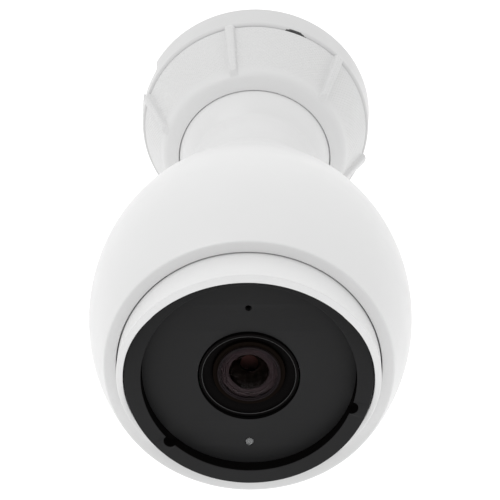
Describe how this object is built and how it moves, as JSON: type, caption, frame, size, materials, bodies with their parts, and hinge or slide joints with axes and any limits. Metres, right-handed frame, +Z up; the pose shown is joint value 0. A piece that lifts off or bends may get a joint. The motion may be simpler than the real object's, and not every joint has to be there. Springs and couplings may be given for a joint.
{
  "type": "bullet security camera",
  "caption": "Wall-mounted bullet security camera: egg-shaped white head with a recessed dark front and wide lens, neck ending in a ball, ribbed locking ring and round base.",
  "frame": {"origin": "centre of the base's back face, on the wall", "axes": "+Z up, +Y into the wall, so the camera looks along -Y; +X to the right seen from the front"},
  "size_m": [0.0794, 0.1525, 0.0794],
  "materials": {
    "white_plastic": "satin moulded white",
    "black_plastic": "fine matt black",
    "dark_window": "dark, clear to infrared light",
    "rubber": "matt",
    "grey_acetal": "smooth",
    "lens_metal": "black anodised",
    "coated_glass": "anti-reflection coated",
    "filter_glass": "infrared-cut coating",
    "clear_glass": "clear",
    "aluminium": "die cast",
    "screw_steel": "plated",
    "circuit_board": "solder resist over glass fibre",
    "chip_resin": "moulded resin",
    "emitter_resin": "moulded clear resin on white",
    "thermal_silicone": "soft",
    "brass": "turned"
  },
  "bodies": {
    "mount": {"mount_base": "white_plastic", "base_gasket": "rubber"},
    "clamp": {"clamp_washer": "grey_acetal"},
    "ring": {"locking_ring": "white_plastic"},
    "seat": {"ball_seat": "grey_acetal"},
    "gland": {"neck_gland": "rubber"},
    "head": {"outer_shell": "white_plastic", "front_bezel": "white_plastic", "bezel_seal": "rubber", "front_plate": "black_plastic", "ir_window": "dark_window", "window_gasket": "rubber", "lens_hood": "black_plastic", "lens_barrel": "lens_metal", "front_lens": "coated_glass", "middle_lens": "coated_glass", "rear_lens": "coated_glass", "lens_retainer": "black_plastic", "lens_holder": "black_plastic", "front_chassis": "aluminium", "chassis_screws": "screw_steel", "emitter_board": "circuit_board", "ir_emitters": "emitter_resin", "board_screws": "screw_steel", "light_pipe": "clear_glass", "microphone": "black_plastic", "mic_boot": "black_plastic", "sensor_board": "circuit_board", "image_sensor": "chip_resin", "main_board": "circuit_board", "main_chip": "chip_resin", "thermal_pad": "thermal_silicone", "heat_sink": "aluminium", "board_standoffs": "brass", "network_jack": "screw_steel", "reset_switch": "chip_resin"},
    "filter": {"filter_frame": "black_plastic", "ir_cut_filter": "filter_glass", "clear_filter": "clear_glass"},
    "reset": {"reset_key": "chip_resin"}
  },
  "joints": [
    {"name": "ring_travel", "type": "slide", "parent": "mount", "child": "clamp", "axis": [0, -1, 0], "range_m": [0, 0.003]},
    {"name": "ring_turn", "type": "hinge", "parent": "clamp", "child": "ring", "pos_m": [0, -0.0243, 0], "axis": [0, -1, 0], "range_deg": [0, 360]},
    {"name": "pan", "type": "hinge", "parent": "mount", "child": "seat", "pos_m": [0, -0.0243, 0], "axis": [0, -1, 0], "range_deg": [-180, 180]},
    {"name": "tilt", "type": "hinge", "parent": "seat", "child": "gland", "pos_m": [0, -0.0243, 0], "axis": [1, 0, 0], "range_deg": [-17, 17]},
    {"name": "roll", "type": "hinge", "parent": "gland", "child": "head", "pos_m": [0, -0.0243, 0], "axis": [0, -1, 0], "range_deg": [-180, 180]},
    {"name": "filter_slide", "type": "slide", "parent": "head", "child": "filter", "axis": [1, 0, 0], "range_m": [0, 0.0092]},
    {"name": "reset_press", "type": "slide", "parent": "head", "child": "reset", "axis": [0, -1, 0], "range_m": [0, 0.0005], "stiffness_N_per_m": 400}
  ],
  "couplings": [
    {"joint": "ring_travel", "follows": "ring_turn", "m_per_rad": 0.00047746}
  ]
}
